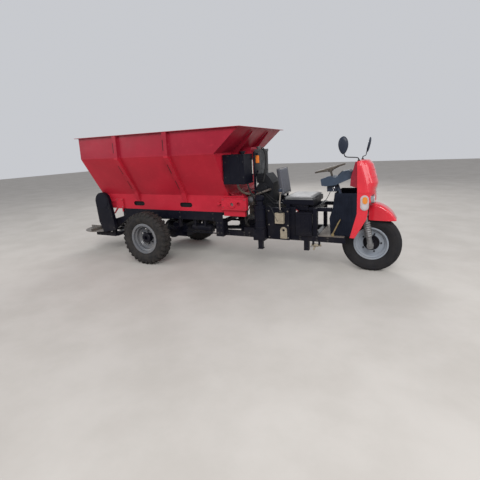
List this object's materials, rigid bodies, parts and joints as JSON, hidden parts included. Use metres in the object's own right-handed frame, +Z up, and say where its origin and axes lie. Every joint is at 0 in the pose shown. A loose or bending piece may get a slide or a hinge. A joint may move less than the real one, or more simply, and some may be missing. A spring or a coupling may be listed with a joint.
{
  "type": "three-wheeled manure spreader",
  "caption": "Self-propelled tricycle manure spreader with a ribbed open hopper, conveyor floor, rear gate, spinner discs, engine, driver's seat and a steered front fork.",
  "frame": {"origin": "on the ground, at the middle of the machine's length and width", "axes": "+X points forwards, +Y to the machine's left and +Z up"},
  "size_m": [5.172, 1.71, 1.945],
  "materials": {
    "red_paint": "gloss paint, worn at the edges",
    "black_paint": "satin black paint",
    "silver_paint": "silver wheel paint",
    "tyre": "dusty rubber",
    "worn_steel": "bare worn steel",
    "cast_iron": "dark oily casting",
    "alloy": "dull cast alloy",
    "dark_plastic": "grained moulding",
    "black_plastic": "satin moulding",
    "wheel_rim_plastic": "worn tan grip",
    "seat_cover": "pale worn vinyl",
    "seat_panel": "grey vinyl",
    "lamp_lens": "clear ribbed lens",
    "tan_steel": "worn earthy plate",
    "worn_plate": "yellowed plating, worn",
    "brass_plate": "yellow zinc plating",
    "rusty_steel": "heat-rusted steel"
  },
  "bodies": {
    "chassis": {"rail_right": "black_paint", "rail_left": "black_paint", "cross_members": "black_paint", "rear_axle": "black_paint", "leaf_springs": "black_paint", "drive_line": "black_paint", "spinner_frame": "black_paint", "hopper_side_right": "red_paint", "hopper_side_left": "red_paint", "hopper_front": "red_paint", "hopper_rear": "red_paint", "hopper_floor": "worn_steel", "conveyor_cover": "red_paint", "conveyor_chain": "worn_steel", "conveyor_shafts": "worn_steel", "bearing_boxes": "red_paint", "chain_guard": "black_paint", "engine_bed": "black_paint", "engine_block": "cast_iron", "engine_head": "alloy", "engine_top": "cast_iron", "flywheel": "cast_iron", "radiator": "alloy", "exhaust": "rusty_steel", "air_cleaner": "black_paint", "oil_tank": "black_paint", "air_reservoir": "black_paint", "side_cover": "black_paint", "brackets": "worn_plate", "battery_box": "black_paint", "gear_lever": "black_plastic", "seat_frame": "black_paint", "seat_cushion": "seat_cover", "seat_back": "seat_panel", "footplate": "tan_steel", "leg_shield": "black_paint", "pedals": "brass_plate", "neck": "black_paint", "console": "dark_plastic", "fairing": "red_paint", "lamps": "lamp_lens", "mirrors": "black_plastic"},
    "gate": {"gate": "red_paint"},
    "rear_wheel_right": {"rear_tyre_right": "tyre", "rear_rim_right": "silver_paint", "rear_hub_right": "black_paint"},
    "rear_wheel_left": {"rear_tyre_left": "tyre", "rear_rim_left": "silver_paint", "rear_hub_left": "black_paint"},
    "fork": {"fork": "alloy", "front_fender": "red_paint"},
    "front_wheel": {"front_tyre": "tyre", "front_rim": "silver_paint", "front_hub": "black_paint"},
    "steering_wheel": {"steering_wheel": "wheel_rim_plastic"},
    "spinner_right": {"spinner_right": "worn_steel"},
    "spinner_left": {"spinner_left": "worn_steel"}
  },
  "joints": [
    {"name": "gate_slide", "type": "slide", "parent": "chassis", "child": "gate", "axis": [0, 0, 1], "range_m": [0, 0.3]},
    {"name": "rear_wheel_right_spin", "type": "hinge", "parent": "chassis", "child": "rear_wheel_right", "pos_m": [-0.946, -0.72, 0.4], "axis": [0, 1, 0], "continuous": true},
    {"name": "rear_wheel_left_spin", "type": "hinge", "parent": "chassis", "child": "rear_wheel_left", "pos_m": [-0.946, 0.72, 0.4], "axis": [0, 1, 0], "continuous": true},
    {"name": "steer", "type": "hinge", "parent": "chassis", "child": "fork", "pos_m": [2.139, 0, 0.76], "axis": [-0.1736, 0, 0.9848], "range_deg": [-35, 35]},
    {"name": "front_wheel_spin", "type": "hinge", "parent": "fork", "child": "front_wheel", "pos_m": [2.214, 0, 0.372], "axis": [0, 1, 0], "continuous": true},
    {"name": "steering_wheel_turn", "type": "hinge", "parent": "chassis", "child": "steering_wheel", "pos_m": [1.674, 0, 1.36], "axis": [-0.2756, 0, 0.9613], "range_deg": [-210, 210]},
    {"name": "spinner_right_spin", "type": "hinge", "parent": "chassis", "child": "spinner_right", "pos_m": [-2.286, -0.308, 0.38], "axis": [0, 0, 1], "continuous": true},
    {"name": "spinner_left_spin", "type": "hinge", "parent": "chassis", "child": "spinner_left", "pos_m": [-2.286, 0.308, 0.38], "axis": [0, 0, 1], "continuous": true}
  ],
  "couplings": [
    {"joint": "steering_wheel_turn", "follows": "steer", "ratio": 6},
    {"joint": "spinner_left_spin", "follows": "spinner_right_spin", "ratio": -1}
  ]
}
